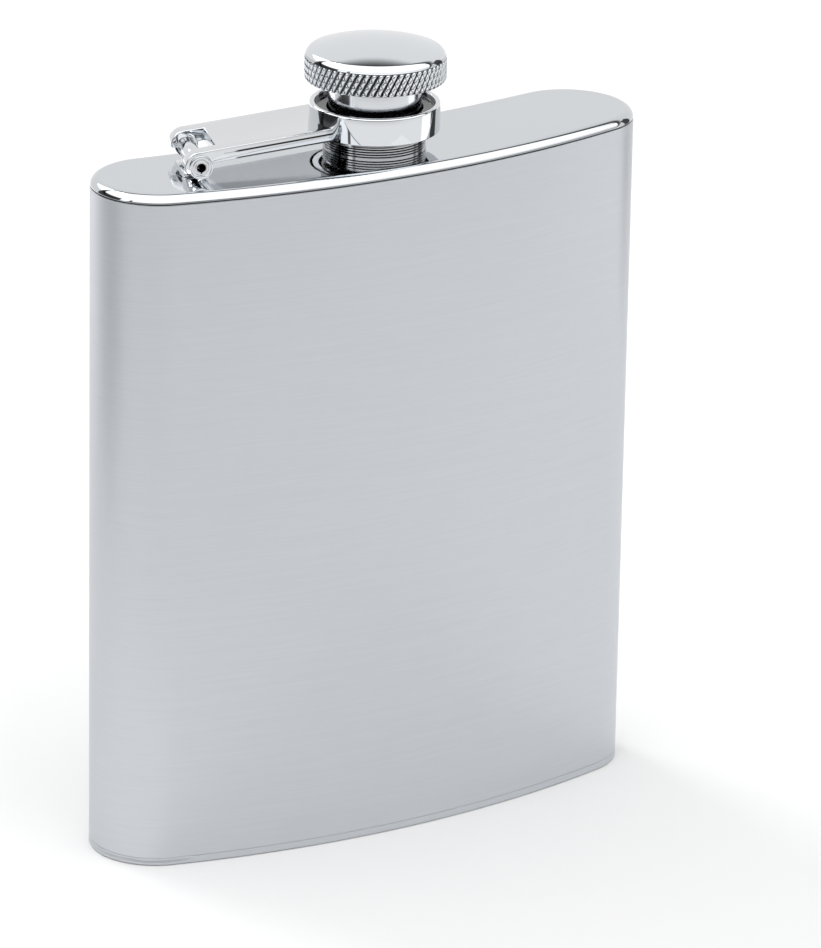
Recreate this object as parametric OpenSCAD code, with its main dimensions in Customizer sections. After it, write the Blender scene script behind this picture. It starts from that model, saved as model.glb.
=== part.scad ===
// Hip flask: wrapped steel body with a kidney-shaped section, welded end
// plates, a threaded neck and a captive screw cap on a hinged arm.
// Millimetres, +Z up. Origin: middle of the base, on the axis of the neck.

/* [Body] */
// overall width of the body, end to end
body_width = 95; // [70:0.5:120]
// height of the body from the table to the top plate
body_height = 110; // [80:0.5:150]
// thickness of the body from front to back, at the middle
body_depth = 23; // [18:0.5:30]
// radius of the rounded ends of the body
end_radius = 10.45; // [8:0.05:13]
// how far the ends curve back from the middle
bow = 3.7; // [2:0.1:6]
// thickness of the wrapped body sheet
wall = 0.6; // [0.4:0.05:1.2]
// height of the rounded lip of the top plate
lip_height = 1.35; // [0.8:0.05:2.5]
// radius of the rounded edge of the top plate
lip_round = 1.1; // [0.4:0.05:1.3]
// thickness of the top and bottom plates
plate_thick = 0.9; // [0.5:0.05:1.3]
// height of the bottom plate's lip
foot_height = 1.3; // [0.8:0.05:2.5]
// width of the seam line between plate and body sheet
seam_gap = 0.12; // [0.05:0.01:0.3]

/* [Neck] */
// radius of the mouth
mouth_radius = 4.9; // [3.5:0.1:5.0]
// radius at the crests of the neck thread
thread_radius = 5.9; // [5.6:0.05:6.0]
// depth of the neck thread
thread_depth = 0.45; // [0.2:0.05:0.6]
// pitch of the neck thread
thread_pitch = 1.2; // [0.8:0.1:1.5]
// height of the neck above the top plate
neck_height = 8.5; // [7:0.1:8.5]
// radius of the collar at the foot of the neck
neck_collar_radius = 8.0; // [7:0.1:9]
// height of the collar at the foot of the neck
neck_collar_height = 2.3; // [1.9:0.1:2.4]

/* [Hinge] */
// distance of the hinge from the axis of the cap, along the width
hinge_x = 31.2; // [29:0.1:33]
// distance of the hinge behind the axis of the cap
hinge_y = 2.1; // [0:0.1:3]
// angle of the hinge pin to the short side of the flask, degrees
pin_yaw = 18.5; // [0:0.5:20]
// angle of the arm's long edges to the width of the flask, degrees
arm_yaw = 1.5; // [0:0.5:4]
// height of the hinge pin above the top plate
pin_height = 2.5; // [2.5:0.1:3]
// outer radius of the curled end of the arm
knuckle_radius = 2.4; // [2.2:0.05:2.4]
// radius of the round ears that carry the pin
ear_radius = 1.85; // [1.6:0.05:2]
// outer radius of the bracket's barrel
barrel_round = 1.4; // [1.3:0.05:1.6]
// radius of the hinge pin
pin_radius = 0.95; // [0.6:0.05:1]
// thickness of the arm
arm_thick = 2.1; // [1:0.05:2.2]
// width of the arm in front of the hinge's middle
arm_front = 5.95; // [5:0.05:6.5]
// width of the arm behind the hinge's middle
arm_back = 6.8; // [6:0.05:7]
// width of the front tine of the forked end
tine_front = 2.2; // [1.5:0.1:3]
// width of the back tine of the forked end
tine_back = 2.3; // [1.5:0.1:3]
// how far the slot reaches from the pin towards the cap
slot_length = 2.9; // [2.5:0.1:4]

/* [Collar ring] */
// outer radius of the collar ring
ring_radius = 10.15; // [9:0.05:11]
// bottom of the collar ring above the top plate
ring_bottom = 2.8; // [2.6:0.1:3.2]
// top of the collar ring above the top plate
ring_top = 7.2; // [7.2:0.1:8]

/* [Cap] */
// radius of the cap head over the knurl
head_radius = 11.0; // [9.5:0.1:12]
// underside of the cap head above the top plate
head_bottom = 10.9; // [10.5:0.1:12]
// height of the knurled band
knurl_height = 3.4; // [2:0.1:5]
// number of axial grooves in the knurled band
knurl_count = 48; // [24:1:60]
// height of the top of the rounded edge above the top plate
head_edge_top = 15.7; // [15.5:0.05:18]
// radius of the rounded edge round the top of the cap head
head_round = 1.0; // [0.5:0.1:1.3]
// slope of the domed top where it meets the rounded edge, degrees
dome_slope = 18; // [4:1:20]
// outer radius of the cap's barrel
barrel_radius = 7.2; // [7:0.05:7.2]
// bore radius of the cap's barrel
barrel_bore = 6.55; // [6.5:0.01:6.6]
// outer radius of the flange that keeps the cap in the ring
flange_radius = 8.2; // [7.8:0.1:8.2]

/* [Hidden] */
$fn = 96;
H = body_height;
T = body_depth;
r_e = end_radius;
x_e = body_width / 2 - r_e;
y_e = bow;
// front (convex) and back (hollow) arcs, both tangent to the end circles
R_f = (x_e * x_e + (y_e + T / 2) * (y_e + T / 2) - r_e * r_e) / (2 * (y_e + T / 2 - r_e));
R_b = (x_e * x_e + (T / 2 - y_e) * (T / 2 - y_e) - r_e * r_e) / (2 * (r_e - (T / 2 - y_e)));
y_f = R_f - T / 2;
y_b = R_b + T / 2;
// middle of the section's box, front to back
y_mid = (y_e + r_e - T / 2) / 2;
d_f = sqrt(x_e * x_e + (y_e - y_f) * (y_e - y_f));
d_b = sqrt(x_e * x_e + (y_b - y_e) * (y_b - y_e));
o = r_e + 3;
pf = [x_e + x_e / d_f * o, y_e + (y_e - y_f) / d_f * o];
pb = [x_e - x_e / d_b * o, y_e + (y_b - y_e) / d_b * o];
// ends of the hinge's parts along the pin, from its middle
skew = pin_yaw + arm_yaw;
t_near = -arm_front / cos(skew) - 0.45;
t_far = arm_back / cos(skew) + 0.1;
t_in = (-arm_front + tine_front) / cos(skew);
t_out = (arm_back - tine_back) / cos(skew);
// middle of the head's edge rounding, and the dome that is tangent to it
q_r = head_radius - 0.05 - head_round;
q_z = head_edge_top - head_round;
dome_a = q_r + head_round * sin(dome_slope);
dome_z = q_z + head_round * cos(dome_slope);
dome_R = dome_a / sin(dome_slope);
head_top = dome_z + dome_R * (1 - cos(dome_slope));
fit_gap = 0.05;
// the end pieces stand this much proud where they meet the arcs
blend = 0.02;

// region that holds the front and back arcs, between the end circles
module mid_zone() {
    polygon([[pf[0], pf[1]], [pf[0], -2 * T], [-pf[0], -2 * T], [-pf[0], pf[1]],
             [-x_e, y_e], [-pb[0], pb[1]], [-pb[0], 2 * T], [pb[0], 2 * T],
             [pb[0], pb[1]], [x_e, y_e]]);
}

// kidney section, inset by d
module kidney(d) {
    intersection() {
        difference() {
            translate([0, y_f]) circle(r = R_f - d, $fn = 360);
            translate([0, y_b]) circle(r = R_b + d, $fn = 360);
        }
        mid_zone();
    }
    for (s = [-1, 1]) difference() {
        translate([s * x_e, y_e]) circle(r = r_e - d + blend);
        mid_zone();
    }
}

module slab(d, z0, z1) {
    translate([0, -y_mid, z0]) linear_extrude(height = z1 - z0) kidney(d);
}

// corner profile: a strip from x 0 to r whose top outer corner is rounded
module lip(r, z0, z1, q) {
    translate([0, z0]) square([r, z1 - q - z0]);
    translate([0, z0]) square([r - q, z1 - z0]);
    intersection() {
        translate([r - q, z1 - q]) circle(r = q, $fn = 48);
        translate([r - q, z1 - q]) square([q, q]);
    }
}

// kidney slab with a rounded top edge of radius q
module round_slab(z0, z1, q) translate([0, -y_mid, 0]) {
    for (s = [-1, 1]) difference() {
        translate([s * x_e, y_e, 0]) rotate_extrude() lip(r_e + blend, z0, z1, q);
        translate([0, 0, z0 - 5]) linear_extrude(height = z1 - z0 + 10) mid_zone();
    }
    zm = z1 - blend / 2;
    difference() {
        intersection() {
            translate([0, y_f, 0]) rotate_extrude($fn = 360) lip(R_f, z0, zm, q);
            translate([0, 0, z0 - 5]) linear_extrude(height = z1 - z0 + 10) mid_zone();
        }
        translate([0, y_b, 0]) rotate_extrude($fn = 360) difference() {
            translate([0, z0 - 1]) square([R_b + q, zm - z0 + 1.5]);
            translate([R_b, z0 - 2]) square([q + 1, zm - q - z0 + 2]);
            translate([R_b + q, zm - q]) circle(r = q, $fn = 48);
        }
    }
}

module body_shell() color([0.72, 0.73, 0.74]) difference() {
    slab(0, foot_height + seam_gap, H - lip_height - seam_gap);
    slab(wall, 0, H);
    // fine closing seam of the wrapped sheet, down the middle of the back
    translate([-0.15, T / 2 - y_mid - 0.1, 0]) cube([0.3, 2, H]);
}

module top_plate() color([0.82, 0.83, 0.84]) difference() {
    union() {
        round_slab(H - lip_height, H, lip_round);
        slab(wall, H - lip_height - 3, H - lip_height);
    }
    slab(wall + 0.7, H - lip_height - 4, H - plate_thick);
    translate([0, 0, H - 5]) cylinder(r = thread_radius - thread_depth, h = 10);
}

module bottom_plate() color([0.72, 0.73, 0.74]) difference() {
    union() {
        slab(0.12, 0.25, foot_height);
        slab(0.3, 0, foot_height);
        slab(wall, foot_height, foot_height + 3);
    }
    slab(wall + 0.7, plate_thick, foot_height + 4);
}

module neck() color([0.86, 0.87, 0.88]) translate([0, 0, H]) {
    rotate_extrude() difference() {
        union() {
            translate([0, -3]) square([thread_radius - thread_depth, 3 + neck_height - 0.8]);
            // collar with fine turned rings near its foot
            difference() {
                translate([0, 0]) square([neck_collar_radius, neck_collar_height]);
                translate([neck_collar_radius - 0.25, neck_collar_height])
                    rotate(45) square(0.6, center = true);
                for (z = [0.35, 0.75, 1.15, 1.55])
                    translate([neck_collar_radius, z]) rotate(45) square(0.2, center = true);
            }
            // thread crests
            for (k = [0:4])
                translate([0, 2.1 + k * thread_pitch])
                    polygon([[0, 0], [thread_radius - thread_depth, 0], [thread_radius, 0.35],
                             [thread_radius, 0.6], [thread_radius - thread_depth, 0.95], [0, 0.95]]);
            polygon([[0, neck_height - 0.8], [thread_radius - thread_depth, neck_height - 0.8],
                     [thread_radius - thread_depth - 0.35, neck_height], [0, neck_height]]);
        }
        translate([-1, -4]) square([1 + mouth_radius, 20]);
    }
}

// frame with the pin's axis as its y axis and +x towards the cap
module at_pin() {
    translate([-hinge_x, hinge_y, H + pin_height]) rotate([0, 0, -pin_yaw]) children();
}

// round bar along the pin between t0 and t1
module bar(r, t0, t1, e = 0) {
    translate([0, t0, 0]) rotate([-90, 0, 0]) rotate_extrude()
        polygon([[0, 0], [r - e, 0], [r, e], [r, t1 - t0 - e], [r - e, t1 - t0], [0, t1 - t0]]);
}

module hinge_bracket() color([0.8, 0.81, 0.82]) at_pin() difference() {
    union() {
        bar(barrel_round, t_in + 0.62, t_out - 0.2, 0.15);
        translate([-0.8, t_in + 0.95, -pin_height]) cube([1.6, t_out - t_in - 1.55, pin_height]);
        translate([-1.9, t_in + 0.95, -pin_height]) cube([3.8, t_out - t_in - 1.55, 0.6]);
    }
    bar(pin_radius + fit_gap, -20, 20);
}

// the arm's cross-section: a thick strip with rounded edges
module strip() {
    q = 0.5;
    t0 = knuckle_radius - arm_thick;
    t1 = knuckle_radius - blend;
    translate([-arm_front + q, t0]) square([arm_front + arm_back - 2 * q, t1 - t0]);
    translate([-arm_front, t0 + q]) square([arm_front + arm_back, t1 - t0 - 2 * q]);
    for (y = [-arm_front + q, arm_back - q], z = [t0 + q, t1 - q]) translate([y, z]) circle(r = q, $fn = 32);
}

module hinge_arm() color([0.84, 0.85, 0.86]) difference() {
    at_pin() {
        difference() {
            union() {
                // strip from the pin to the ring
                difference() {
                    rotate([0, 0, skew]) translate([-5, 0, 0]) rotate([90, 0, 90])
                        linear_extrude(height = hinge_x + 2) strip();
                    translate([-20.2, -20, -5]) cube([20, 40, 10]);
                    // slot between the tines
                    intersection() {
                        rotate([0, 0, skew]) translate([-5, -arm_front + tine_front, -5])
                            cube([20, arm_front + arm_back - tine_front - tine_back, 10]);
                        translate([-20, -20, -5]) cube([20 + slot_length, 40, 10]);
                    }
                }
                // ears round the pin, and the curled ends over them
                bar(ear_radius, t_near, t_in - 0.1, 0.15);
                bar(ear_radius, t_out + 0.1, t_far, 0.15);
                for (t = [[t_near + 0.3, t_in], [t_out, t_far - 0.15]]) difference() {
                    bar(knuckle_radius, t[0], t[1], 0.2);
                    translate([-5, -20, -5]) cube([10, 40, 4.7]);
                }
            }
            bar(pin_radius, -30, 30);
        }
    }
    translate([0, 0, H - 5]) cylinder(r = ring_radius, h = 30);
}

module hinge_pin() color([0.6, 0.61, 0.62]) at_pin() difference() {
    bar(pin_radius, t_near - 0.05, t_far + 0.05, 0.08);
    bar(pin_radius - 0.25, -30, 30);
    // slit of the rolled pin
    translate([-0.15, -20, -3]) cube([0.3, 40, 3]);
}

module collar_ring() color([0.88, 0.89, 0.9]) translate([0, 0, H]) rotate_extrude()
    polygon([[8.6, ring_bottom], [ring_radius - 0.15, ring_bottom], [ring_radius, ring_bottom + 0.15],
             [ring_radius, ring_top - 0.35], [ring_radius - 0.1, ring_top - 0.1],
             [ring_radius - 0.3, ring_top], [ring_radius - 0.55, ring_top],
             [ring_radius - 0.75, ring_top - 0.1], [ring_radius - 0.85, ring_top - 0.35],
             [ring_radius - 0.85, ring_top - 0.95],
             [barrel_radius + 0.4, ring_top - 0.95], [barrel_radius + 0.3, ring_top - 1.05],
             [barrel_radius + 0.3, ring_top - 1.4], [8.6, ring_top - 1.4]]);

module cap_head() color([0.86, 0.87, 0.88]) translate([0, 0, H]) difference() {
    rotate_extrude() difference() {
        union() {
            polygon([[0, head_bottom], [head_radius - 0.5, head_bottom],
                     [head_radius, head_bottom + 0.3], [head_radius, head_bottom + knurl_height],
                     [q_r + head_round, q_z], [q_r, q_z], [dome_a, dome_z], [0, dome_z]]);
            translate([q_r, q_z]) circle(r = head_round, $fn = 48);
            intersection() {
                translate([0, head_top - dome_R]) circle(r = dome_R, $fn = 360);
                translate([0, dome_z]) square([dome_a + 1, 5]);
            }
        }
        translate([-50, 0]) square([50, 40]);
        // socket for the barrel and room above the liner
        translate([-1, head_bottom - 1]) square([1 + barrel_radius, 2.3]);
        translate([-1, head_bottom]) square([1 + 5, 2.2]);
    }
    // knurled band
    for (k = [0:knurl_count - 1]) rotate([0, 0, k * 360 / knurl_count])
        translate([head_radius, 0, head_bottom + knurl_height / 2])
            rotate([0, 0, 45]) cube([0.42, 0.42, knurl_height + 0.6], center = true);
}

module cap_barrel() color([0.8, 0.81, 0.82]) translate([0, 0, H]) rotate_extrude()
    polygon([[barrel_bore + 0.2, ring_bottom + 0.1], [barrel_radius, ring_bottom + 0.1],
             [barrel_radius, head_bottom + 1.3], [barrel_bore, head_bottom + 1.3],
             [barrel_bore, ring_bottom + 0.3]]);

module cap_flange() color([0.75, 0.76, 0.77]) translate([0, 0, H]) rotate_extrude()
    polygon([[barrel_radius, ring_bottom + 0.1], [flange_radius - 0.15, ring_bottom + 0.1],
             [flange_radius, ring_bottom + 0.25], [flange_radius, ring_bottom + 0.65],
             [flange_radius - 0.15, ring_bottom + 0.8], [barrel_radius, ring_bottom + 0.8]]);

module cap_liner() color([0.9, 0.9, 0.88]) translate([0, 0, H]) rotate_extrude()
    polygon([[1.55, 10.0], [barrel_bore, 10.0], [barrel_bore, 10.8], [1.55, 10.8]]);

module cap_gasket() color([0.92, 0.92, 0.9]) translate([0, 0, H]) rotate_extrude()
    polygon([[0, 8.8], [6.1, 8.8], [6.2, 8.9], [6.2, 9.6], [6.1, 9.7],
             [1.5, 9.7], [1.5, 11.1], [1.9, 11.1], [1.9, 11.6], [1.2, 12.0], [0, 12.0]]);

body_shell();
top_plate();
bottom_plate();
neck();
hinge_bracket();
hinge_arm();
hinge_pin();
collar_ring();
cap_head();
cap_barrel();
cap_flange();
cap_liner();
cap_gasket();
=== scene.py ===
import bpy, bmesh, math
from mathutils import Vector, Matrix, noise
from mathutils.geometry import tessellate_polygon


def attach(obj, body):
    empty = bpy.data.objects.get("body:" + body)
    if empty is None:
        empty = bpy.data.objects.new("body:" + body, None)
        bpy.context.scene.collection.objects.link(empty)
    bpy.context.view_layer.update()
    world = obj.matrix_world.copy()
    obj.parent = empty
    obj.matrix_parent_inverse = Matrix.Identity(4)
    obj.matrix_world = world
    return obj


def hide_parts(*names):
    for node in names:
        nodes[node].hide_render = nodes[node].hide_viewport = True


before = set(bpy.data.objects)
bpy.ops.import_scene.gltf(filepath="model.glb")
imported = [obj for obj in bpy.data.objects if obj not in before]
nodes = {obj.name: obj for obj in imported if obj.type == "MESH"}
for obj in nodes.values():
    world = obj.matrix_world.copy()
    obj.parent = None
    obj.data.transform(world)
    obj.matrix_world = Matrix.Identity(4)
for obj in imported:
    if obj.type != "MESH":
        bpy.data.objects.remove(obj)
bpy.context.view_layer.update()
MM = 0.001

# ---------------------------------------------------------------- sizes, mm
H = 110.0
T = 23.0
RE = 10.45
XE = 95.0 / 2 - RE
YE = 3.7
RF = (XE * XE + (YE + T / 2) ** 2 - RE * RE) / (2 * (YE + T / 2 - RE))
RB = (XE * XE + (T / 2 - YE) ** 2 - RE * RE) / (2 * (RE - (T / 2 - YE)))
YF = RF - T / 2
YB = RB + T / 2
YMID = (YE + RE - T / 2) / 2
WALL = 0.6
LIP = 1.35
ROUND = 1.1
FOOT = 1.3
GAP = 0.12
PIN_YAW = math.radians(18.5)
SKEW = math.radians(20.0)
PINZ = 2.5
PIN = Vector((-31.2, 2.1, H + PINZ))
KN = 2.4
EAR = 1.85


# ---------------------------------------------------------------- mesh tools
def new_object(name, verts, faces, smooth_angle=None):
    me = bpy.data.meshes.new(name)
    me.from_pydata([(x * MM, y * MM, z * MM) for x, y, z in verts], [], faces)
    me.validate()
    ob = bpy.data.objects.new(name, me)
    bpy.context.scene.collection.objects.link(ob)
    bm = bmesh.new()
    bm.from_mesh(me)
    bmesh.ops.remove_doubles(bm, verts=bm.verts, dist=1e-8)
    bmesh.ops.recalc_face_normals(bm, faces=bm.faces)
    bm.to_mesh(me)
    bm.free()
    shade(ob, smooth_angle)
    return ob


def shade(ob, angle=None):
    me = ob.data
    for p in me.polygons:
        p.use_smooth = True
    if angle is not None:
        me.set_sharp_from_angle(angle=math.radians(angle))


def apply_modifiers(ob):
    bpy.context.view_layer.update()
    dg = bpy.context.evaluated_depsgraph_get()
    me = bpy.data.meshes.new_from_object(ob.evaluated_get(dg))
    old = ob.data
    ob.modifiers.clear()
    ob.data = me
    me.name = old.name
    bpy.data.meshes.remove(old)


def lathe(name, profile, n=192, closed=True, smooth_angle=35, radius_fn=None):
    """profile: (r, z) points. closed joins the last point to the first; a point with r = 0 becomes a pole."""
    verts, rows = [], []
    for r, z in profile:
        if r == 0:
            rows.append([len(verts)])
            verts.append((0, 0, H + z))
        else:
            row = []
            for i in range(n):
                a = 2 * math.pi * i / n
                rr = r if radius_fn is None else radius_fn(r, z, a)
                row.append(len(verts))
                verts.append((rr * math.cos(a), rr * math.sin(a), H + z))
            rows.append(row)
    faces = []
    pairs = list(zip(rows, rows[1:]))
    if closed:
        pairs.append((rows[-1], rows[0]))
    for a, b in pairs:
        if len(a) == 1 and len(b) == 1:
            continue
        for i in range(n):
            j = (i + 1) % n
            if len(a) == 1:
                faces.append((a[0], b[j], b[i]))
            elif len(b) == 1:
                faces.append((a[i], a[j], b[0]))
            else:
                faces.append((a[i], a[j], b[j], b[i]))
    return new_object(name, verts, faces, smooth_angle)


def rounded(points, rads, seg=4):
    """Rounds the corners of an open or closed (r, z) profile. rads: one radius per point, 0 keeps the corner."""
    out = []
    n = len(points)
    for i, (p, q) in enumerate(zip(points, rads)):
        if not q:
            out.append(p)
            continue
        a, b, c = Vector(points[i - 1]), Vector(p), Vector(points[(i + 1) % n])
        u, v = (a - b), (c - b)
        lu, lv = u.length, v.length
        u.normalize(), v.normalize()
        ang = u.angle(v)
        t = min(q / math.tan(ang / 2), lu * 0.49, lv * 0.49)
        q = t * math.tan(ang / 2)
        centre = b + (u + v).normalized() * (q / math.sin(ang / 2))
        s, e = b + u * t - centre, b + v * t - centre
        total = s.angle(e)
        sign = 1 if s.x * e.y - s.y * e.x > 0 else -1
        for k in range(seg + 1):
            th = sign * total * k / seg
            out.append((centre.x + s.x * math.cos(th) - s.y * math.sin(th),
                        centre.y + s.x * math.sin(th) + s.y * math.cos(th)))
    return out


# kidney outline: points and outward normals, counter-clockwise from above
def kidney(nf=150, ne=44, nb=130):
    pts = []
    af = math.atan2(XE, YF - YE)          # half angle of the front arc
    ab = math.atan2(XE, YB - YE)          # half angle of the back arc
    for i in range(nf):                   # front, left to right
        a = -af + 2 * af * i / nf
        pts.append((RF * math.sin(a), YF - RF * math.cos(a), math.sin(a), -math.cos(a)))
    a0 = -math.pi / 2 + af
    a1 = math.pi / 2 + ab
    for i in range(ne):                   # right end
        a = a0 + (a1 - a0) * i / ne
        pts.append((XE + RE * math.cos(a), YE + RE * math.sin(a), math.cos(a), math.sin(a)))
    for i in range(nb):                   # back, right to left
        a = ab - 2 * ab * i / nb
        pts.append((RB * math.sin(a), YB - RB * math.cos(a), -math.sin(a), math.cos(a)))
    for i in range(ne):                   # left end
        a = math.pi - a1 + (a1 - a0) * i / ne
        pts.append((-XE + RE * math.cos(a), YE + RE * math.sin(a), math.cos(a), math.sin(a)))
    return [(x, y - YMID, nx, ny) for x, y, nx, ny in pts]


OUT = kidney()


def ring_at(d, z, fn=None):
    row = []
    for i, (x, y, nx, ny) in enumerate(OUT):
        dd, zz = d, z
        if fn:
            dd, zz = fn(i, d, z)
        row.append((x - nx * dd, y - ny * dd, zz))
    return row


def loft(rows, closed=True):
    verts, faces = [], []
    n = len(rows[0])
    for r in rows:
        verts += r
    m = len(rows)
    for k in range(m if closed else m - 1):
        a, b = k * n, ((k + 1) % m) * n
        for i in range(n):
            j = (i + 1) % n
            faces.append((a + i, a + j, b + j, b + i))
    return verts, faces


def plate_faces(verts, outer, inner=None):
    """Triangulates a flat face between vertex-index loops."""
    loops = [outer] + ([inner] if inner else [])
    flat = [i for lp in loops for i in lp]
    tris = tessellate_polygon([[Vector(verts[i]) for i in lp] for lp in loops])
    return [tuple(flat[k] for k in t) for t in tris]


# ---------------------------------------------------------------- node helpers
def nd(nt, kind, **kw):
    x = nt.nodes.new(kind)
    for k, v in kw.items():
        setattr(x, k, v)
    return x


def ramp(nt, src, stops, interp="LINEAR"):
    r = nd(nt, "ShaderNodeValToRGB")
    r.color_ramp.interpolation = interp
    el = r.color_ramp.elements
    while len(el) > 2:
        el.remove(el[-1])
    for k, (p, c) in enumerate(stops):
        e = el[k] if k < 2 else el.new(p)
        e.position = p
        e.color = (c, c, c, 1) if not hasattr(c, "__len__") else (*c, 1)
    nt.links.new(src, r.inputs["Fac"])
    return r.outputs["Color"]


def noise_tex(nt, vec, scale, detail=3, rough=0.5, dist=0.0):
    t = nd(nt, "ShaderNodeTexNoise")
    t.inputs["Scale"].default_value = scale
    t.inputs["Detail"].default_value = detail
    t.inputs["Roughness"].default_value = rough
    t.inputs["Distortion"].default_value = dist
    nt.links.new(vec, t.inputs["Vector"])
    return t.outputs["Fac"]


def stretched(nt, src, scale, rot=(0, 0, 0)):
    m = nd(nt, "ShaderNodeMapping")
    m.inputs["Scale"].default_value = scale
    m.inputs["Rotation"].default_value = rot
    nt.links.new(src, m.inputs["Vector"])
    return m.outputs["Vector"]


def math_node(nt, op, a, b=None, c=None):
    m = nd(nt, "ShaderNodeMath", operation=op)
    for k, v in enumerate((a, b, c)):
        if v is None:
            continue
        if isinstance(v, (int, float)):
            m.inputs[k].default_value = v
        else:
            nt.links.new(v, m.inputs[k])
    return m.outputs[0]


def mix_col(nt, fac, a, b, mode="MIX"):
    m = nd(nt, "ShaderNodeMix", data_type="RGBA", blend_type=mode)
    for sock, v in ((m.inputs[0], fac), (m.inputs[6], a), (m.inputs[7], b)):
        if hasattr(v, "links") or isinstance(v, bpy.types.NodeSocket):
            nt.links.new(v, sock)
        elif isinstance(v, (int, float)):
            sock.default_value = v
        else:
            sock.default_value = (*v, 1)
    return m.outputs[2]


def between(nt, src, lo, hi, soft):
    """1 between lo and hi, fading to 0 over soft inside each end."""
    out = None
    for a, b in ((lo, lo + soft * 0.3), (hi, hi - soft)):
        m = nd(nt, "ShaderNodeMapRange", interpolation_type="SMOOTHSTEP")
        nt.links.new(src, m.inputs[0])
        m.inputs[1].default_value = min(a, b)
        m.inputs[2].default_value = max(a, b)
        m.inputs[3].default_value = 0.0 if a < b else 1.0
        m.inputs[4].default_value = 1.0 if a < b else 0.0
        out = m.outputs[0] if out is None else math_node(nt, "MULTIPLY", out, m.outputs[0])
    return out


def metal(name, base, rough, grain=None, grain_amt=0.05, rough_amt=0.05, aniso=0.0,
          bump=0.0, smudge=0.04, scratch=0.0, painted_shade=()):
    """Brushed or polished steel. grain: scale of the stretched noise in 1/m per axis.
    Last argument, a list of (r_min, r_max, r_soft, z_min, z_max, z_soft, amount) in mm round the neck's axis: bands
    where the base colour is painted near-black, as painted shade and painted dark reflections in grooves, recesses and
    seams, not a darker metal."""
    mat = bpy.data.materials.new(name)
    mat.use_nodes = True
    nt = mat.node_tree
    nt.nodes.clear()
    out = nd(nt, "ShaderNodeOutputMaterial")
    bs = nd(nt, "ShaderNodeBsdfPrincipled")
    nt.links.new(bs.outputs[0], out.inputs[0])
    bs.inputs["Metallic"].default_value = 1.0
    bs.inputs["Anisotropic"].default_value = aniso
    tc = nd(nt, "ShaderNodeTexCoord")
    obj = tc.outputs["Object"]
    if aniso:
        tg = nd(nt, "ShaderNodeTangent", direction_type="RADIAL", axis="Z")
        nt.links.new(tg.outputs[0], bs.inputs["Tangent"])
    big = noise_tex(nt, obj, 38, 3, 0.55)          # soft cloudiness from polishing and handling
    col_lo = tuple(b * (1 - smudge) for b in base)
    col_hi = tuple(min(1, b * (1 + smudge)) for b in base)
    col = mix_col(nt, ramp(nt, big, [(0.3, 0.0), (0.7, 1.0)]), col_lo, col_hi)
    r_val = math_node(nt, "MULTIPLY_ADD", big, rough_amt, rough - rough_amt * 0.5)
    height = None
    if grain:
        vec = obj
        g1 = noise_tex(nt, stretched(nt, vec, grain), 1.0, 5, 0.7)
        g2 = noise_tex(nt, stretched(nt, vec, tuple(g * 2.7 for g in grain)), 1.0, 3, 0.6)
        g = math_node(nt, "MULTIPLY_ADD", g2, 0.5, math_node(nt, "MULTIPLY", g1, 0.5))
        gr = ramp(nt, g, [(0.34, 0.0), (0.66, 1.0)])
        dark = tuple(1 - grain_amt for _ in range(3))
        col = mix_col(nt, 1.0, col, mix_col(nt, gr, dark, (1 + grain_amt,) * 3), "MULTIPLY")
        r_val = math_node(nt, "MULTIPLY_ADD", gr, rough_amt, r_val)
        height = g
    if scratch:
        s1 = noise_tex(nt, stretched(nt, obj, (240, 5200, 240), (0.2, 0.3, 0.5)), 1.0, 2, 0.5, 0.4)
        s2 = noise_tex(nt, stretched(nt, obj, (6100, 260, 300), (0.1, 0.6, -0.4)), 1.0, 2, 0.5, 0.4)
        s = math_node(nt, "MAXIMUM", ramp(nt, s1, [(0.70, 0.0), (0.78, 1.0)]), ramp(nt, s2, [(0.71, 0.0), (0.79, 1.0)]))
        r_val = math_node(nt, "MULTIPLY_ADD", s, scratch, r_val)
    # painted shade: each band mixes the base colour towards near-black (0.02), standing in for shade and dark
    # reflections, not for a darker metal
    if painted_shade:
        xyz = nd(nt, "ShaderNodeSeparateXYZ")
        nt.links.new(obj, xyz.inputs[0])
        x, y, z = xyz.outputs
        rad = math_node(nt, "SQRT", math_node(nt, "MULTIPLY_ADD", x, x, math_node(nt, "MULTIPLY", y, y)))
        for r0, r1, rs, z0, z1, zs, amount in painted_shade:
            m = between(nt, rad, r0 * MM, r1 * MM, rs * MM)
            m = math_node(nt, "MULTIPLY", m, between(nt, z, (H + z0) * MM, (H + z1) * MM, zs * MM))
            col = mix_col(nt, math_node(nt, "MULTIPLY", m, amount), col, (0.02, 0.02, 0.022))
    nt.links.new(col, bs.inputs["Base Color"])
    nt.links.new(math_node(nt, "MAXIMUM", r_val, 0.02), bs.inputs["Roughness"])
    if bump and height is not None:
        b = nd(nt, "ShaderNodeBump")
        b.inputs["Strength"].default_value = bump
        b.inputs["Distance"].default_value = 0.00003
        nt.links.new(height, b.inputs["Height"])
        nt.links.new(b.outputs[0], bs.inputs["Normal"])
    return mat


def plastic(name, base, rough, speck=0.03):
    mat = bpy.data.materials.new(name)
    mat.use_nodes = True
    nt = mat.node_tree
    bs = nt.nodes["Principled BSDF"]
    tc = nd(nt, "ShaderNodeTexCoord")
    n1 = noise_tex(nt, tc.outputs["Object"], 900, 4, 0.6)
    col = mix_col(nt, n1, tuple(b * (1 - speck) for b in base), tuple(min(1, b * (1 + speck)) for b in base))
    nt.links.new(col, bs.inputs["Base Color"])
    nt.links.new(math_node(nt, "MULTIPLY_ADD", n1, 0.15, rough - 0.07), bs.inputs["Roughness"])
    b = nd(nt, "ShaderNodeBump")
    b.inputs["Strength"].default_value = 0.15
    b.inputs["Distance"].default_value = 0.00003
    nt.links.new(n1, b.inputs["Height"])
    nt.links.new(b.outputs[0], bs.inputs["Normal"])
    return mat


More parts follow.
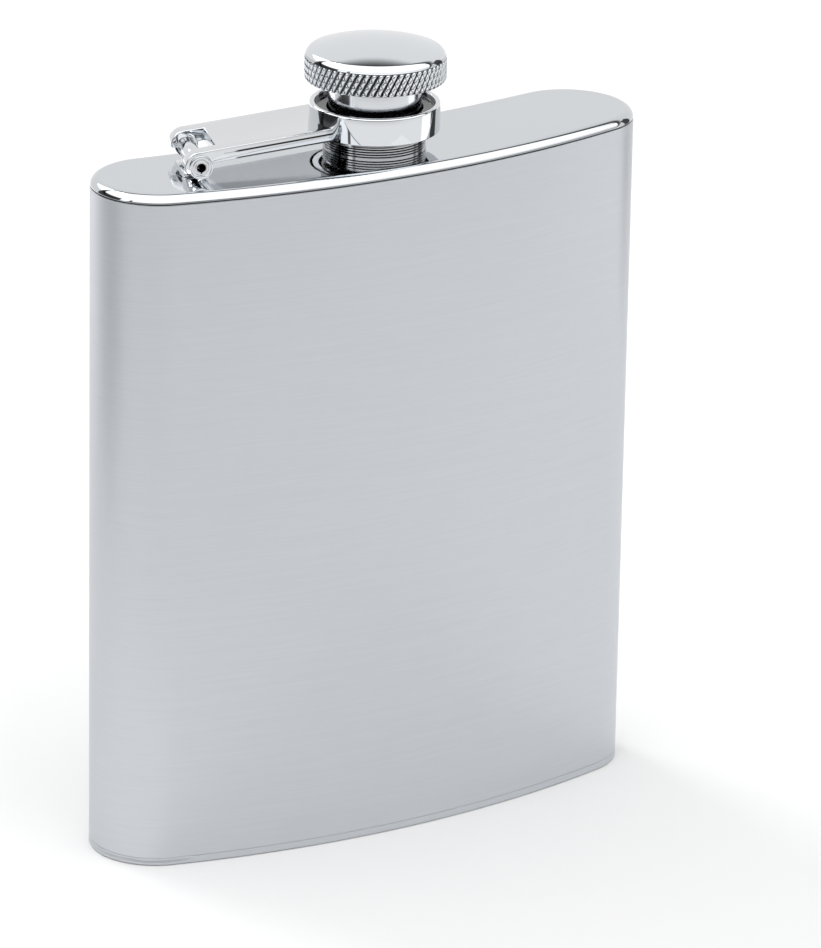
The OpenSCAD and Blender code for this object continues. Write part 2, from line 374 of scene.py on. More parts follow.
M_BODY = metal("brushed_body", (0.600, 0.622, 0.649), 0.36, grain=(45, 45, 2600), grain_amt=0.035, rough_amt=0.06, aniso=0.55, bump=0.12, smudge=0.015)
# the band at the plate's lower edge is painted shade beside the seam's real narrow gap
M_PLATE = metal("polished_plate", (0.62, 0.643, 0.668), 0.055, rough_amt=0.02, smudge=0.01, scratch=0.03,
                painted_shade=[(0, 90, 1, -1.7, -1.17, 0.06, 0.6)])
# painted shade and painted dark reflection: the top band lies in the real side groove; the two lower bands are painted
# dark lines near the strip's lower edge, with no groove under them
M_ARM = metal("polished_arm", (0.69, 0.708, 0.728), 0.05, rough_amt=0.02, smudge=0.01, scratch=0.03,
              painted_shade=[(9.0, 27.6, 1.0, 3.88, 4.24, 0.08, 0.93), (9.0, 27.6, 1.0, 2.88, 3.14, 0.08, 0.93), (9.0, 27.6, 1.0, 2.6, 2.9, 0.05, 0.35)])
# the ring's dish is painted near-black: painted shade and painted dark reflection in a real recess
M_RING = metal("polished_ring", (0.71, 0.728, 0.75), 0.05, rough_amt=0.02, smudge=0.01, scratch=0.03,
               painted_shade=[(0, 9.36, 0.1, 5.6, 7.0, 0.25, 0.93)])
# the knurl's cuts are painted near-black as painted shade in real grooves; the crests keep the steel colour
M_CAP = metal("polished_cap", (0.70, 0.725, 0.75), 0.05, rough_amt=0.03, smudge=0.012, scratch=0.05,
              painted_shade=[(10.45, 10.96, 0.24, 10.7, 14.95, 0.2, 0.96)])
# the stem below z 7.55 is painted near-black: painted dark reflection of the ring's inside and painted shade, not
# darker steel
M_STEM = metal("turned_stem", (0.69, 0.708, 0.73), 0.12, grain=(60, 60, 5200), grain_amt=0.05, rough_amt=0.04, bump=0.1, smudge=0.02,
               painted_shade=[(0, 20, 1, 2.0, 7.55, 0.35, 0.93)])
# the collar's turned grooves and its shoulder up to z 2.6 are painted near-black as painted shade in real recesses
M_NECK = metal("turned_neck", (0.50, 0.505, 0.51), 0.12, grain=(60, 60, 5200), grain_amt=0.08, rough_amt=0.04, bump=0.1, smudge=0.02,
               painted_shade=[(0, 7.96, 0.08, -0.1, 2.6, 0.05, 0.93)])
M_PIN = metal("pin_steel", (0.62, 0.625, 0.63), 0.2, grain=(900, 900, 900), grain_amt=0.05, rough_amt=0.06, smudge=0.04)
# near-black steel for the pin's bore: painted shade inside the rolled tube, not a darker metal
M_BORE_PAINTED_SHADE = metal("pin_bore_painted_shade", (0.03, 0.03, 0.032), 0.4, grain=(900, 900, 900), grain_amt=0.1, rough_amt=0.1, smudge=0.1)
M_LINER = plastic("liner_plastic", (0.82, 0.82, 0.79), 0.45)
M_GASKET = plastic("gasket_rubber", (0.74, 0.74, 0.71), 0.6)


def finish_piece(ob, mat, body, slot, *cad):
    ob.data.materials.clear()
    ob.data.materials.append(mat)
    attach(ob, body)
    if cad:
        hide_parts(*cad)
    return ob


# ---------------------------------------------------------------- body shell
z0, z1 = FOOT + 0.02, H - LIP - GAP
rows = []
for d, z in [(0.03, z0), (0.01, z0 + 0.01), (0, z0 + 0.04), (0, z0 + 0.14)]:
    rows.append(ring_at(d, z))
for k in range(1, 24):
    rows.append(ring_at(0, z0 + 0.14 + (z1 - z0 - 0.28) * k / 24))
for d, z in [(0, z1 - 0.14), (0, z1 - 0.04), (0.01, z1 - 0.01), (0.04, z1), (WALL - 0.06, z1), (WALL, z1 - 0.06)]:
    rows.append(ring_at(d, z))
for k in range(1, 6):
    rows.append(ring_at(WALL, z1 - 0.06 - (z1 - z0 - 0.12) * k / 6))
rows += [ring_at(WALL, z0 + 0.06), ring_at(WALL - 0.06, z0)]
# closing seam of the sheet: a fine groove down the middle of the back
for row in rows:
    for i, (x, y, z) in enumerate(row):
        nx, ny = OUT[i][2], OUT[i][3]
        if ny > 0.5 and abs(x) < 0.5 and (y + YMID) > T / 2 - 0.3:
            k = max(0.0, 1 - abs(x) / 0.5)
            row[i] = (x, y - 0.06 * k, z)
shell = new_object("body_shell_piece", *loft(rows), smooth_angle=40)
finish_piece(shell, M_BODY, "flask_body", "brushed_body", "body_shell")

# ---------------------------------------------------------------- top plate
rows = [ring_at(WALL, H - LIP - 3.0), ring_at(WALL, H - LIP), ring_at(0.16, H - LIP), ring_at(0.06, H - LIP + 0.02),
        ring_at(0.01, H - LIP + 0.08)]
LEAN = math.radians(15)
ROLL_R = (LIP - 0.18) / (1 - math.sin(LEAN))
for k in range(0, 19):
    t = LEAN + (math.pi / 2 - LEAN) * k / 18
    rows.append(ring_at(ROLL_R * (math.cos(LEAN) - math.cos(t)), H - ROLL_R * (1 - math.sin(t))))
rows.append(ring_at(ROLL_R + 0.3, H))
verts, faces = loft(rows, closed=False)
nk = len(OUT)
top_loop = [len(verts) - nk + i for i in range(nk)]
NH = 96
hr = 5.45
hole_top = []
for i in range(NH):
    a = 2 * math.pi * i / NH
    hole_top.append(len(verts)); verts.append((hr * math.cos(a), hr * math.sin(a), H))
hole_bot = []
for i in range(NH):
    a = 2 * math.pi * i / NH
    hole_bot.append(len(verts)); verts.append((hr * math.cos(a), hr * math.sin(a), H - 0.9))
base = len(verts)
low = ring_at(WALL + 0.7, H - 0.9)
verts += low
low_loop = [base + i for i in range(nk)]
base2 = len(verts)
verts += ring_at(WALL + 0.7, H - LIP - 3.0)
skirt_loop = [base2 + i for i in range(nk)]
faces += plate_faces(verts, top_loop, hole_top)
faces += plate_faces(verts, low_loop, hole_bot)
for i in range(NH):
    j = (i + 1) % NH
    faces.append((hole_top[i], hole_top[j], hole_bot[j], hole_bot[i]))
for i in range(nk):
    j = (i + 1) % nk
    faces.append((low_loop[i], low_loop[j], skirt_loop[j], skirt_loop[i]))
    faces.append((skirt_loop[i], skirt_loop[j], j, i))
plate = new_object("top_plate_piece", verts, faces, smooth_angle=40)
finish_piece(plate, M_PLATE, "flask_body", "polished", "top_plate")

# ---------------------------------------------------------------- bottom plate, with its weld bead
def bead(i, d, z):
    """The weld was ground flush, except round the left corner, where its bead still shows."""
    x, y, nx, ny = OUT[i]
    p = Vector((x * 0.9, y * 0.9, 3.0))
    w = noise.noise(p) * 0.5 + noise.noise(p * 2.7) * 0.5
    m = min(1.0, max(0.0, (-x - 35.5) / 3.5)) * min(1.0, max(0.0, (0.5 - ny) / 0.3))
    return d + m * (0.10 + 0.10 * w), z + m * 0.16 * w


rows = [ring_at(WALL, FOOT + 3.0), ring_at(WALL, FOOT - 0.02)]
rows.append(ring_at(0.02, FOOT - 0.02))
rows.append(ring_at(0.0, FOOT - 0.05))
rows.append(ring_at(0.0, FOOT - 0.22, bead))
rows.append(ring_at(0.0, FOOT - 0.34, bead))
rows.append(ring_at(0.0, FOOT - 0.46, bead))
rows.append(ring_at(0.0, FOOT - 0.62))
rows.append(ring_at(0.0, 0.40))
for k in range(9):
    t = math.pi / 2 * k / 8
    rows.append(ring_at(0.35 * (1 - math.cos(t)), 0.35 - 0.35 * math.sin(t)))
rows.append(ring_at(1.2, 0.0))
verts, faces = loft(rows, closed=False)
base_loop = [len(verts) - nk + i for i in range(nk)]
faces += plate_faces(verts, base_loop)
b2 = len(verts)
verts += ring_at(WALL + 0.7, 0.9)
in_low = [b2 + i for i in range(nk)]
faces += plate_faces(verts, in_low)
b3 = len(verts)
verts += ring_at(WALL + 0.7, FOOT + 3.0)
for i in range(nk):
    j = (i + 1) % nk
    faces.append((in_low[i], in_low[j], b3 + j, b3 + i))
    faces.append((b3 + i, b3 + j, j, i))
foot = new_object("bottom_plate_piece", verts, faces, smooth_angle=40)
finish_piece(foot, M_BODY, "flask_body", "brushed_body", "bottom_plate")

# ---------------------------------------------------------------- neck with a helical thread
ROOT, CREST, PITCH = 5.45, 5.9, 1.2


def thread_r(r, z, a):
    if r != -1:
        return r
    u = ((z - 1.9) / PITCH - a / (2 * math.pi)) % 1.0
    t = min(1.0, max(0.0, (0.36 - abs(u - 0.5)) / 0.16))
    t = t * t * (3 - 2 * t)
    fade = min(1.0, max(0.0, (z - 2.42) / 0.6)) * min(1.0, max(0.0, (7.6 - z) / 0.5))
    return ROOT + (CREST - ROOT) * t * fade


prof = [(4.9, -2.95), (5.4, -2.95), (5.4, -0.02), (ROOT, 0.0)]
prof += [(8.0, 0.0)]
for z in (0.35, 0.75, 1.15, 1.55):                    # fine turned rings
    prof += [(8.0, z - 0.13), (7.95, z - 0.1), (7.8, z), (7.95, z + 0.1), (8.0, z + 0.13)]
prof += rounded([(8.0, 1.9), (7.95, 2.1), (7.5, 2.3), (ROOT, 2.3)], [0, 0.1, 0.15, 0.1], 4)
prof += [(-1, 2.42 + 0.075 * k) for k in range(0, 70)]
prof += [(ROOT, 7.72), (5.1, 8.45), (5.02, 8.5), (4.98, 8.5), (4.9, 8.42), (4.9, 4.0)]
neck = lathe("neck_piece", prof, n=160, radius_fn=thread_r, smooth_angle=40)
finish_piece(neck, M_NECK, "flask_body", "polished", "neck")


# ---------------------------------------------------------------- hinge frame: (s, t, n), t along the pin, s towards the cap
A_PIN = Matrix.Translation(PIN) @ Matrix.Rotation(-PIN_YAW, 4, "Z")


def placed(ob, M):
    """The mesh was made in mm in the arm's own frame; moves it to the row frame."""
    S = Matrix.Scale(MM, 4)
    ob.data.transform(S @ M @ S.inverted())
    return ob


def extruded(name, polys, width, segs=3, angle=50):
    """polys: list of (profile [(s, n)], y0, y1). Low-poly prisms joined in one mesh, then bevelled."""
    bm = bmesh.new()
    cache = {}

    def vert(s, y, n):
        k = (round(s, 5), round(y, 5), round(n, 5))
        if k not in cache:
            cache[k] = bm.verts.new((s * MM, y * MM, n * MM))
        return cache[k]

    for kind, data in polys:
        try:
            bm.faces.new([vert(*p) for p in data])
        except ValueError:
            pass
    bmesh.ops.recalc_face_normals(bm, faces=bm.faces)
    me = bpy.data.meshes.new(name)
    bm.to_mesh(me)
    bm.free()
    ob = bpy.data.objects.new(name, me)
    bpy.context.scene.collection.objects.link(ob)
    m = ob.modifiers.new("bevel", "BEVEL")
    m.width = width * MM
    m.segments = segs
    m.limit_method = "ANGLE"
    m.angle_limit = math.radians(angle)
    m.harden_normals = False
    m.use_clamp_overlap = True
    apply_modifiers(ob)
    shade(ob, 35)
    return ob


def arc(cx, cy, r, a0, a1, n):
    return [(cx + r * math.cos(math.radians(a0 + (a1 - a0) * k / n)), cy + r * math.sin(math.radians(a0 + (a1 - a0) * k / n))) for k in range(n + 1)]


def drill(ob, M, radius, length, name):
    """Cuts a round hole along the pin's axis."""
    n = 64
    verts, faces = [], []
    for y in (-length / 2, length / 2):
        for i in range(n):
            a = 2 * math.pi * i / n
            verts.append((radius * math.cos(a), y, radius * math.sin(a)))
    faces.append(tuple(range(n)))
    faces.append(tuple(range(2 * n - 1, n - 1, -1)))
    for i in range(n):
        j = (i + 1) % n
        faces.append((i, j, n + j, n + i))
    cut = new_object(name, verts, faces)
    placed(cut, M)
    m = ob.modifiers.new("hole", "BOOLEAN")
    m.operation = "DIFFERENCE"
    m.solver = "EXACT"
    m.object = cut
    apply_modifiers(ob)
    bpy.data.objects.remove(cut)
    shade(ob, 35)


def turned(name, profile, n=72, angle=35):
    """Turns a closed (r, t) profile round the pin's axis; r = 0 is a pole."""
    verts, rows, faces = [], [], []
    for r, t in profile:
        if r == 0:
            rows.append([len(verts)])
            verts.append((0, t, 0))
        else:
            rows.append(list(range(len(verts), len(verts) + n)))
            verts += [(r * math.cos(2 * math.pi * i / n), t, r * math.sin(2 * math.pi * i / n)) for i in range(n)]
    for a_, b_ in list(zip(rows, rows[1:])) + [(rows[-1], rows[0])]:
        if len(a_) == 1 and len(b_) == 1:
            continue
        for i in range(n):
            j = (i + 1) % n
            if len(a_) == 1:
                faces.append((a_[0], b_[j], b_[i]))
            elif len(b_) == 1:
                faces.append((a_[i], a_[j], b_[0]))
            else:
                faces.append((a_[i], a_[j], b_[j], b_[i]))
    return new_object(name, verts, faces, angle)


def join(ob, other):
    m = ob.modifiers.new("join", "BOOLEAN")
    m.operation = "UNION"
    m.solver = "EXACT"
    m.object = other
    apply_modifiers(ob)
    bpy.data.objects.remove(other)
    shade(ob, 35)


# ---------------------------------------------------------------- hinge arm: forked strip, curled over two ears
TK = math.tan(SKEW)
CK = math.cos(SKEW)
T_FRONT, T_BACK = -5.95 / CK, 6.8 / CK               # long edges, where they cross the pin
T_IN, T_OUT = (-5.95 + 2.2) / CK, (6.8 - 2.3) / CK   # slot edges, where they cross the pin
T_NEAR, T_FAR = T_FRONT - 0.45, T_BACK + 0.1
SL = 2.9
T0 = KN - 2.1
AB = math.degrees(math.asin(0.3 / KN))
NECK_S = 31.2 * math.cos(PIN_YAW) + 2.1 * math.sin(PIN_YAW)
NECK_T = 31.2 * math.sin(PIN_YAW) - 2.1 * math.cos(PIN_YAW)


def sheared(t, s_):
    return t + max(0.0, s_) * TK


def s_end(t):
    """Where the line that crosses the pin at t meets the wall of the ring."""
    lo, hi = 5.0, NECK_S + 1.0
    best = None
    k = lo
    while k < hi:
        if math.hypot(k - NECK_S, t + k * TK - NECK_T) <= 9.4:
            best = k
            break
        k += 0.02
    return best if best is not None else NECK_S + 0.8


curl = arc(0, 0, KN, 90, 180 + AB, 26)                # from the top, round the free end, to the cut
right = (KN * math.cos(math.radians(-AB)), -0.3)
faces = []
for ya, yb in ((T_FRONT - 0.12, T_IN), (T_OUT, T_FAR - 0.1)):
    front = ya < 0
    edge = T_FRONT if front else T_BACK
    yo = ya if front else yb                           # outer side at the curl
    yi = yb if front else ya                           # inner side, along the slot
    for (s0, n0), (s1, n1) in zip(curl, curl[1:]):
        faces.append(("q", [(s0, yo, n0), (s0, yi, n0), (s1, yi, n1), (s1, yo, n1)]))
    cs, cn = curl[-1]
    faces.append(("q", [(cs, yo, cn), (cs, yi, cn), (0, yi, -0.3), (0, yo, -0.3)]))
    ri = sheared(yi, 2.2)
    ro = sheared(edge, 2.2)
    faces.append(("q", [(0, yo, -0.3), (0, yi, -0.3), (2.2, ri, T0), (2.2, ro, T0)]))
    faces.append(("q", [(2.2, ro, T0), (2.2, ri, T0), (SL, sheared(yi, SL), T0), (SL, sheared(edge, SL), T0)]))
    faces.append(("q", [(0, yo, KN), (0, yi, KN), (SL, sheared(yi, SL), KN), (SL, sheared(edge, SL), KN)]))
    # sides at the curl
    for y in (yo, yi):
        faces.append(("n", [(s_, y, n_) for s_, n_ in curl] + [(0, y, -0.3)]))
    # inner side along the slot
    faces.append(("n", [(0, yi, KN), (0, yi, -0.3), (2.2, ri, T0), (SL, sheared(yi, SL), T0), (SL, sheared(yi, SL), KN)]))
    # outer side, from the curl to the ring
    se = s_end(edge)
    faces.append(("n", [(0, yo, KN), (0, yo, -0.3), (2.2, ro, T0)]))
    faces.append(("n", [(0, yo, KN), (2.2, ro, T0), (SL, sheared(edge, SL), T0), (SL, sheared(edge, SL), KN)]))
    faces.append(("n", [(SL, sheared(edge, SL), T0), (se, sheared(edge, se), T0), (se, sheared(edge, se), KN), (SL, sheared(edge, SL), KN)]))
faces.append(("q", [(SL, sheared(T_IN, SL), T0), (SL, sheared(T_OUT, SL), T0), (SL, sheared(T_OUT, SL), KN), (SL, sheared(T_IN, SL), KN)]))
ys = [T_FRONT, -5.2, -4.0, -2.6, -1.3, 0.0, 1.3, 2.6, 4.0, 5.2, 6.2, T_BACK]
ends = [(s_end(y), sheared(y, s_end(y))) for y in ys]
for n_ in (T0, KN):
    faces.append(("n", [(SL, sheared(T_FRONT, SL), n_), (SL, sheared(T_IN, SL), n_), (SL, sheared(T_OUT, SL), n_), (SL, sheared(T_BACK, SL), n_)] + [(s_, y, n_) for s_, y in reversed(ends)]))
for (sa, ya), (sb, yb) in zip(ends, ends[1:]):
    faces.append(("q", [(sa, ya, T0), (sb, yb, T0), (sb, yb, KN), (sa, ya, KN)]))
arm = extruded("hinge_arm_piece", faces, 0.34, 5)
for t0_, t1_, sgn in ((T_NEAR, T_IN - 0.1, 1), (T_FAR, T_OUT + 0.1, -1)):
    # the ear's outer face is turned: a rim, a shallow groove and a boss round the pin
    prof = [(0, t0_ + 0.1 * sgn), (1.12, t0_ + 0.1 * sgn), (1.17, t0_ + 0.03 * sgn), (1.24, t0_ + 0.02 * sgn), (1.30, t0_ + 0.05 * sgn),
            (1.34, t0_ + 0.14 * sgn), (1.52, t0_ + 0.14 * sgn), (1.56, t0_ + 0.04 * sgn), (1.62, t0_), (EAR - 0.12, t0_), (EAR - 0.03, t0_ + 0.04 * sgn),
            (EAR, t0_ + 0.13 * sgn), (EAR, t1_ - 0.1 * sgn), (EAR - 0.1, t1_), (0, t1_)]
    ear = turned("ear_cut", prof)
    join(arm, ear)
for edge, out_ in ((T_FRONT, -1), (T_BACK, 1)):       # fine groove along each side of the strip
    q0 = [(SL + 1.0, 0.0), (s_end(edge) + 1.0, 0.0)]
    n0, n1, dp = 1.42, 1.70, 0.13
    verts = []
    for s_, _ in q0:
        t_ = sheared(edge, s_)
        verts += [(s_, t_ + out_ * 0.3, n0), (s_, t_ + out_ * 0.3, n1), (s_, t_ - out_ * dp, (n0 + n1) / 2 + 0.04), (s_, t_ - out_ * dp, (n0 + n1) / 2 - 0.04)]
    cut = new_object("groove_cut", verts, [(0, 1, 2, 3), (7, 6, 5, 4), (0, 4, 5, 1), (1, 5, 6, 2), (2, 6, 7, 3), (3, 7, 4, 0)])
    m = arm.modifiers.new("groove", "BOOLEAN")
    m.operation = "DIFFERENCE"
    m.solver = "EXACT"
    m.object = cut
    apply_modifiers(arm)
    bpy.data.objects.remove(cut)
placed(arm, A_PIN)
drill(arm, A_PIN, 0.95, 30, "arm_cut")
finish_piece(arm, M_ARM, "arm", "polished", "hinge_arm")

# ---------------------------------------------------------------- hinge bracket: barrel on a post with a small foot
b0, b1 = T_IN + 0.62, T_OUT - 0.2
bracket = turned("hinge_bracket_piece", [(0, b0), (1.2, b0), (1.34, b0 + 0.05), (1.4, b0 + 0.16), (1.4, b1 - 0.16), (1.34, b1 - 0.05), (1.2, b1), (0, b1)])
p0, p1 = T_IN + 0.95, T_OUT - 0.6
prof = [(-1.9, -PINZ), (1.9, -PINZ), (1.9, -PINZ + 0.45)] + arc(1.35, -PINZ + 1.0, 0.55, -90, -180, 6)
prof += [(0.8, -0.4), (-0.8, -0.4)] + arc(-1.35, -PINZ + 1.0, 0.55, 0, -90, 6) + [(-1.9, -PINZ + 0.45)]
faces = [("n", [(s_, p0, n_) for s_, n_ in prof]), ("n", [(s_, p1, n_) for s_, n_ in prof])]
for (sa, na_), (sb, nb_) in zip(prof, prof[1:] + prof[:1]):
    faces.append(("q", [(sa, p0, na_), (sa, p1, na_), (sb, p1, nb_), (sb, p0, nb_)]))
post = extruded("post_cut", faces, 0.1, 2, 60)
join(bracket, post)
placed(bracket, A_PIN)
drill(bracket, A_PIN, 1.0, 20, "bracket_cut")
finish_piece(bracket, M_ARM, "flask_body", "polished", "hinge_bracket")

# ---------------------------------------------------------------- hinge pin: rolled tube with a slit
verts, faces = [], []
e0, e1 = T_NEAR - 0.05, T_FAR + 0.05
sect = rounded([(0.70, e0), (0.95, e0), (0.95, e1), (0.70, e1)], [0.08, 0.12, 0.12, 0.08], 4)
na = 60
for k in range(na + 1):
    a = math.radians(-90 + 9 + (360 - 18) * k / na)
    for r, y in sect:
        verts.append((r * math.cos(a), y, r * math.sin(a)))
m_ = len(sect)
for k in range(na):
    for i in range(m_):
        j = (i + 1) % m_
        faces.append((k * m_ + i, k * m_ + j, (k + 1) * m_ + j, (k + 1) * m_ + i))
faces.append(tuple(range(m_)))
faces.append(tuple(na * m_ + i for i in range(m_ - 1, -1, -1)))
pin = new_object("hinge_pin_piece", verts, faces, smooth_angle=40)
inner = [i for i, p in enumerate(pin.data.polygons) if all(math.hypot(pin.data.vertices[v].co.x, pin.data.vertices[v].co.z) < 0.705 * MM for v in p.vertices)]
placed(pin, A_PIN)
finish_piece(pin, M_PIN, "arm", "pin_steel", "hinge_pin")
# the tube's inner faces take the near-black material: painted shade in the bore
pin.data.materials.append(M_BORE_PAINTED_SHADE)
for i in inner:
    pin.data.polygons[i].material_index = 1

# ---------------------------------------------------------------- collar ring
prof = rounded([(8.6, 2.8), (10.15, 2.8), (10.15, 7.2), (9.3, 7.2), (9.3, 6.25), (7.5, 6.25), (7.5, 5.8), (8.6, 5.8)],
               [0.12, 0.18, 0.34, 0.34, 0.2, 0.1, 0.12, 0.2], 7)
ring = lathe("collar_ring_piece", prof, n=220, smooth_angle=40)
finish_piece(ring, M_RING, "arm", "polished", "collar_ring")

# ---------------------------------------------------------------- cap
prof = rounded([(6.55, 2.9), (7.2, 2.9), (7.2, 12.2), (6.55, 12.2)], [0.2, 0.1, 0.05, 0.05], 4)
barrel = lathe("cap_barrel_piece", prof, n=180, smooth_angle=40)
finish_piece(barrel, M_STEM, "cap", "cap_steel", "cap_barrel")

STARTS, KDEPTH = 63, 0.34
KB, KT = 10.9, 14.5


def knurl_r(r, z, a):
    if r != -2:
        return r
    pitch = 2 * math.pi * 11.0 / STARTS
    s = (z - KB) * math.tan(math.radians(28)) / pitch
    q = a * STARTS / (2 * math.pi)

    def tri(x):
        x = x % 1.0
        return abs(x - 0.5) * 2                       # 0 in the middle of a groove

    main = min(1.0, tri(q - s) / 0.66)                # deep right-leaning cuts
    fine = 1 - 0.62 * (1 - min(1.0, tri(q + s) / 0.42))   # lighter left-leaning ones across them
    g = min(main, fine)
    ends = min(1.0, max(0.0, (z - KB) / 0.22)) * min(1.0, max(0.0, (KT - z) / 0.18))
    depth = KDEPTH * (1 - g)
    return 11.0 - depth * (0.25 + 0.75 * ends) - 0.18 * (1 - ends)


SLOPE, EDGE = math.radians(18.7), math.radians(15)     # the bright edge band leans in right from the knurl
HR = (15.65 - KT) / (math.cos(SLOPE) - math.sin(EDGE))
Q_R, Q_Z = 10.97 - HR * math.cos(EDGE), KT - HR * math.sin(EDGE)
prof = [(0, 12.2), (5.0, 12.2), (7.2, 12.2), (7.2, 11.0), (7.3, 10.9), (9.6, 10.9), (10.3, 10.9)]
nrows = 34
prof += [(-2, KB + 0.02 + (KT - KB - 0.02) * k / nrows) for k in range(nrows + 1)]
for k in range(1, 19):
    t = EDGE + (math.pi / 2 - SLOPE - EDGE) * k / 18
    prof.append((Q_R + HR * math.cos(t), Q_Z + HR * math.sin(t)))
DA = Q_R + HR * math.sin(SLOPE)
DZ = Q_Z + HR * math.cos(SLOPE)
DR = DA / math.sin(SLOPE)
for k in range(1, 18):
    t = SLOPE * (1 - k / 18)
    prof.append((DR * math.sin(t), DZ + DR * (math.cos(t) - math.cos(SLOPE))))
prof.append((0, DZ + DR * (1 - math.cos(SLOPE))))
head = lathe("cap_head_piece", prof, n=STARTS * 12, closed=False, radius_fn=knurl_r, smooth_angle=48)
finish_piece(head, M_CAP, "cap", "cap_steel", "cap_head")

# the flange takes the stem's material, with its painted shade below z 7.55
for n_, m in (("cap_flange", M_STEM), ("cap_liner", M_LINER), ("cap_gasket", M_GASKET)):
    ob = nodes[n_]
    ob.data.materials.clear()
    ob.data.materials.append(m)

# ---------------------------------------------------------------- camera
AZ, EL, ROLL, DIST, FPX, TX, TZ = 31.9251, 20.3051, 1.0386, 1112.03, 7077.19, 5.8275, 56.1846
a, e, r = (math.radians(v) for v in (AZ, EL, ROLL))
back = Vector((-math.sin(a) * math.cos(e), -math.cos(a) * math.cos(e), math.sin(e)))
right = Vector((math.cos(a), -math.sin(a), 0))
up = back.cross(right)
pos = right * TX + Vector((0, 0, TZ)) + back * DIST - Vector((0, YMID, 0))
Rv = right * math.cos(r) + up * math.sin(r)
Uv = -right * math.sin(r) + up * math.cos(r)
cd = bpy.data.cameras.new("camera")
cam = bpy.data.objects.new("camera", cd)
bpy.context.scene.collection.objects.link(cam)
cam.matrix_world = Matrix(((Rv.x, Uv.x, back.x, pos.x * MM), (Rv.y, Uv.y, back.y, pos.y * MM), (Rv.z, Uv.z, back.z, pos.z * MM), (0, 0, 0, 1)))
cd.sensor_fit = "AUTO"
cd.sensor_width = 36
cd.lens = FPX * 36 / 948
cd.clip_start = 0.01
cd.clip_end = 60
bpy.context.scene.camera = cam

# ---------------------------------------------------------------- floor
me = bpy.data.meshes.new("floor")
corners = [right * x + Vector((math.sin(a), math.cos(a), 0)) * y for x, y in ((-0.22, -0.24), (0.26, -0.24), (0.26, 0.62), (-0.22, 0.62))]
me.from_pydata([(v.x, v.y, -0.00002) for v in corners], [], [(0, 1, 2, 3)])
floor = bpy.data.objects.new("floor", me)
bpy.context.scene.collection.objects.link(floor)
fm = bpy.data.materials.new("floor")
fm.use_nodes = True
fb = fm.node_tree.nodes["Principled BSDF"]
fb.inputs["Base Color"].default_value = (0.755, 0.755, 0.755, 1)
fb.inputs["Roughness"].default_value = 0.9
fb.inputs["Specular IOR Level"].default_value = 0.1
me.materials.append(fm)

# ---------------------------------------------------------------- studio: a soft white room with an overhead bank
world = bpy.data.worlds.new("studio")
bpy.context.scene.world = world
world.use_nodes = True
nt = world.node_tree
nt.nodes.clear()
wo = nd(nt, "ShaderNodeOutputWorld")
tc = nd(nt, "ShaderNodeTexCoord")
far = Vector((math.sin(a), math.cos(a), 0))


def dot(v):
    m = nd(nt, "ShaderNodeVectorMath", operation="DOT_PRODUCT")
    nt.links.new(tc.outputs["Generated"], m.inputs[0])
    m.inputs[1].default_value = v
    return m.outputs["Value"]


U, V, Wz = dot(right), dot(far), dot(Vector((0, 0, 1)))


def step(x, lo, hi):
    """0 below lo, 1 above hi, smooth between."""
    m = nd(nt, "ShaderNodeMapRange", interpolation_type="SMOOTHSTEP")
    nt.links.new(x, m.inputs[0])
    m.inputs[1].default_value = lo
    m.inputs[2].default_value = hi
    return m.outputs[0]


def mul(*xs):
    out = xs[0]
    for x in xs[1:]:
        out = math_node(nt, "MULTIPLY", out, x)
    return out


def inv(x):
    return math_node(nt, "SUBTRACT", 1.0, x)


wz = math_node(nt, "MAXIMUM", Wz, 0.001)
vw = math_node(nt, "DIVIDE", V, wz)
uw = math_node(nt, "DIVIDE", U, wz)
upper = step(Wz, 0.0, 0.02)
az = math_node(nt, "ARCTAN2", U, math_node(nt, "MULTIPLY", V, -1.0))   # 0 towards the camera, + to its right
top_bank = mul(upper, inv(step(vw, 0.56, 0.585)), step(vw, -2.3, -2.1), inv(step(uw, 0.95, 1.05)), step(uw, -2.7, -2.5))
front_bank = mul(step(Wz, 0.21, 0.25), step(az, -1.13, -1.09), inv(step(az, 1.96, 2.0)), inv(step(vw, 0.56, 0.585)), inv(step(Wz, 0.74, 0.80)),
                 math_node(nt, "MULTIPLY_ADD", step(Wz, 0.34, 0.42), 0.33, 0.67))
bank = math_node(nt, "MAXIMUM", top_bank, front_bank)
gap = mul(upper, step(vw, 0.56, 0.585), inv(step(vw, 0.62, 1.05)))
back_wall = mul(step(V, 0.0, 0.05), step(vw, 0.70, 1.0))
low = inv(step(Wz, -0.25, -0.08))
left_flag = mul(step(az, -2.05, -2.0), inv(step(az, -1.15, -1.1)), inv(step(Wz, 0.45, 0.5)))
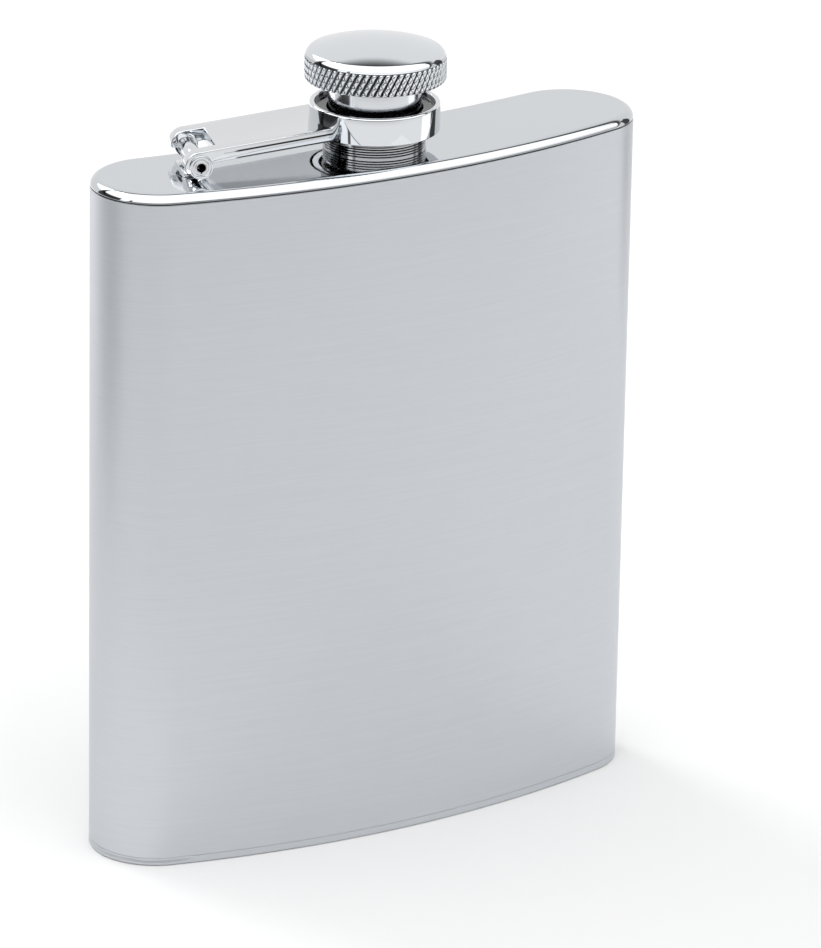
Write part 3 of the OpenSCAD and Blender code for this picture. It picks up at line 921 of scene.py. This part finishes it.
right_flag = mul(step(az, 2.0, 2.03), inv(step(az, 2.33, 2.36)), inv(step(Wz, 0.45, 0.5)))
horizon = mul(step(az, -0.92, -0.86), inv(step(az, 0.55, 1.05)), inv(step(Wz, 0.19, 0.23)), step(Wz, -0.25, 0.0))
strip = mul(step(az, -1.13, -1.10), inv(step(az, -0.88, -0.84)), step(Wz, 0.02, 0.06), inv(step(Wz, 0.5, 0.55)))
sliver = mul(step(az, -0.84, -0.82), inv(step(az, -0.75, -0.73)), inv(step(Wz, 0.45, 0.5)), step(Wz, 0.0, 0.05))
val = math_node(nt, "MULTIPLY_ADD", math_node(nt, "MAXIMUM", bank, strip), 1.15, 0.50)
val = math_node(nt, "MULTIPLY_ADD", back_wall, 0.44, val)
kicker = mul(step(az, -2.62, -2.55), inv(step(az, -2.2, -2.1)), step(Wz, 0.40, 0.46), inv(step(Wz, 0.80, 0.86)))
val = math_node(nt, "MULTIPLY_ADD", kicker, 6.5, val)
val = math_node(nt, "MULTIPLY_ADD", low, 0.50, val)
left_amt = math_node(nt, "MULTIPLY_ADD", low, -0.50, 0.93)
val = mul(val, inv(mul(gap, 0.93)), inv(mul(left_flag, left_amt)), inv(mul(right_flag, 0.92)), inv(mul(horizon, 0.92)), inv(mul(sliver, 0.9)))
lit = nd(nt, "ShaderNodeBackground")
nt.links.new(val, lit.inputs["Strength"])
lit.inputs["Color"].default_value = (1.0, 1.0, 1.0, 1)
plain = nd(nt, "ShaderNodeBackground")
plain.inputs["Color"].default_value = (1, 1, 1, 1)
plain.inputs["Strength"].default_value = 1.0
lp = nd(nt, "ShaderNodeLightPath")
ms = nd(nt, "ShaderNodeMixShader")
nt.links.new(lp.outputs["Is Camera Ray"], ms.inputs[0])
nt.links.new(lit.outputs[0], ms.inputs[1])
nt.links.new(plain.outputs[0], ms.inputs[2])
nt.links.new(ms.outputs[0], wo.inputs["Surface"])

bpy.context.scene.view_settings.view_transform = "Standard"
bpy.context.scene.view_settings.look = "None"
bpy.context.scene.view_settings.exposure = 0.0
